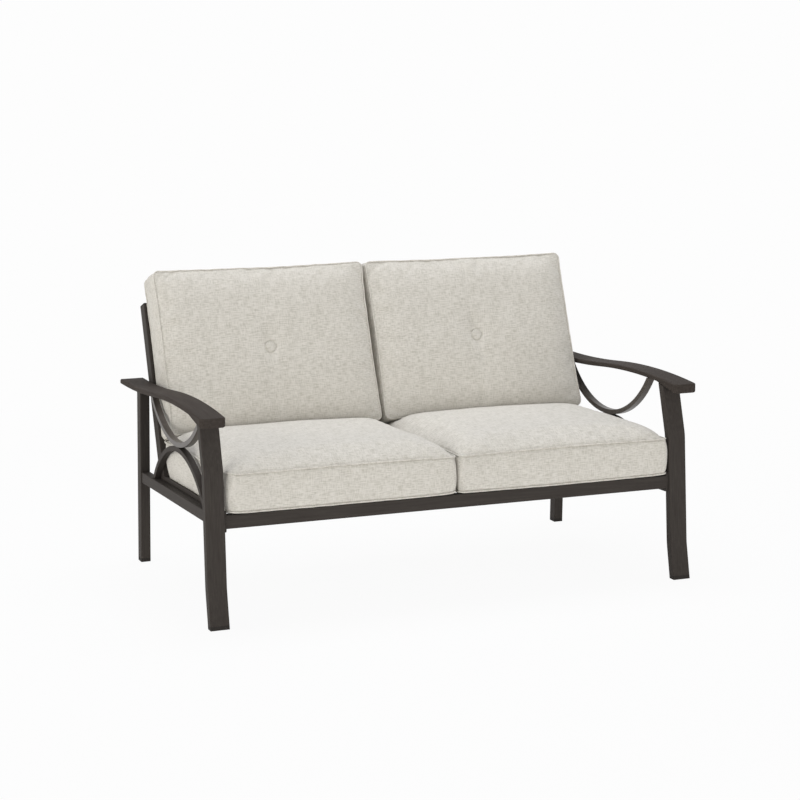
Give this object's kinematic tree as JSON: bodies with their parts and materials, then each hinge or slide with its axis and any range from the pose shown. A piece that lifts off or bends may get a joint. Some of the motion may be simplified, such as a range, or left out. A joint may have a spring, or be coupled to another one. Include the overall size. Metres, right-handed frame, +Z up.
{
  "type": "loveseat",
  "caption": "Outdoor loveseat with a welded metal frame, curved flat armrests, paired arc bars in the sides, seat cushions and tufted back cushions.",
  "frame": {"origin": "middle of the bounding box's footprint, on the floor", "axes": "+X to the right as seen from the front, +Y from front to rear, +Z up"},
  "size_m": [1.38, 0.7929, 0.8165],
  "materials": {
    "bronze_powder_coat": "satin powder coat",
    "black_plastic": "fine matte",
    "fastener_steel": "zinc plated",
    "cushion_fabric": "heathered linen weave"
  },
  "bodies": {
    "frame": {"armrest_cap_left": "black_plastic", "armrest_cap_right": "black_plastic", "armrest_left": "bronze_powder_coat", "armrest_right": "bronze_powder_coat", "back_bolts": "fastener_steel", "back_centre_post": "bronze_powder_coat", "back_slats_left": "bronze_powder_coat", "back_slats_right": "bronze_powder_coat", "back_threaded_inserts": "fastener_steel", "back_upright_left": "bronze_powder_coat", "back_upright_right": "bronze_powder_coat", "front_foot_left": "black_plastic", "front_foot_right": "black_plastic", "front_leg_left": "bronze_powder_coat", "front_leg_right": "bronze_powder_coat", "lower_arc_left": "bronze_powder_coat", "lower_arc_right": "bronze_powder_coat", "lower_back_rail_left": "bronze_powder_coat", "lower_back_rail_right": "bronze_powder_coat", "rear_foot_left": "black_plastic", "rear_foot_right": "black_plastic", "rear_leg_left": "bronze_powder_coat", "rear_leg_right": "bronze_powder_coat", "seat_bolts": "fastener_steel", "seat_brace_left": "bronze_powder_coat", "seat_brace_right": "bronze_powder_coat", "seat_centre_member": "bronze_powder_coat", "seat_front_rail": "bronze_powder_coat", "seat_rear_rail": "bronze_powder_coat", "seat_side_plate_left": "bronze_powder_coat", "seat_side_plate_right": "bronze_powder_coat", "seat_slat_1_left": "bronze_powder_coat", "seat_slat_1_right": "bronze_powder_coat", "seat_slat_2_left": "bronze_powder_coat", "seat_slat_2_right": "bronze_powder_coat", "seat_slat_3_left": "bronze_powder_coat", "seat_slat_3_right": "bronze_powder_coat", "seat_slat_4_left": "bronze_powder_coat", "seat_slat_4_right": "bronze_powder_coat", "seat_slat_5_left": "bronze_powder_coat", "seat_slat_5_right": "bronze_powder_coat", "seat_threaded_inserts": "fastener_steel", "seat_washers": "fastener_steel", "side_rail_left": "bronze_powder_coat", "side_rail_right": "bronze_powder_coat", "top_back_rail": "bronze_powder_coat", "upper_arc_left": "bronze_powder_coat", "upper_arc_right": "bronze_powder_coat", "upright_cap_left": "black_plastic", "upright_cap_right": "black_plastic"},
    "back_cushion_body_left": {"back_cushion_left": "cushion_fabric", "tuft_button_left": "cushion_fabric"},
    "back_cushion_body_right": {"back_cushion_right": "cushion_fabric", "tuft_button_right": "cushion_fabric"},
    "seat_cushion_body_left": {"seat_cushion_left": "cushion_fabric"},
    "seat_cushion_body_right": {"seat_cushion_right": "cushion_fabric"}
  },
  "joints": [
    {"name": "seat_cushion_left_slide", "type": "slide", "parent": "frame", "child": "seat_cushion_body_left", "axis": [0, -0.9995, 0.0314], "range_m": [0, 0.55]},
    {"name": "back_cushion_left_lift", "type": "slide", "parent": "frame", "child": "back_cushion_body_left", "axis": [0, 0.36, 0.933], "range_m": [0, 0.4]},
    {"name": "seat_cushion_right_slide", "type": "slide", "parent": "frame", "child": "seat_cushion_body_right", "axis": [0, -0.9995, 0.0314], "range_m": [0, 0.55]},
    {"name": "back_cushion_right_lift", "type": "slide", "parent": "frame", "child": "back_cushion_body_right", "axis": [0, 0.36, 0.933], "range_m": [0, 0.4]}
  ]
}
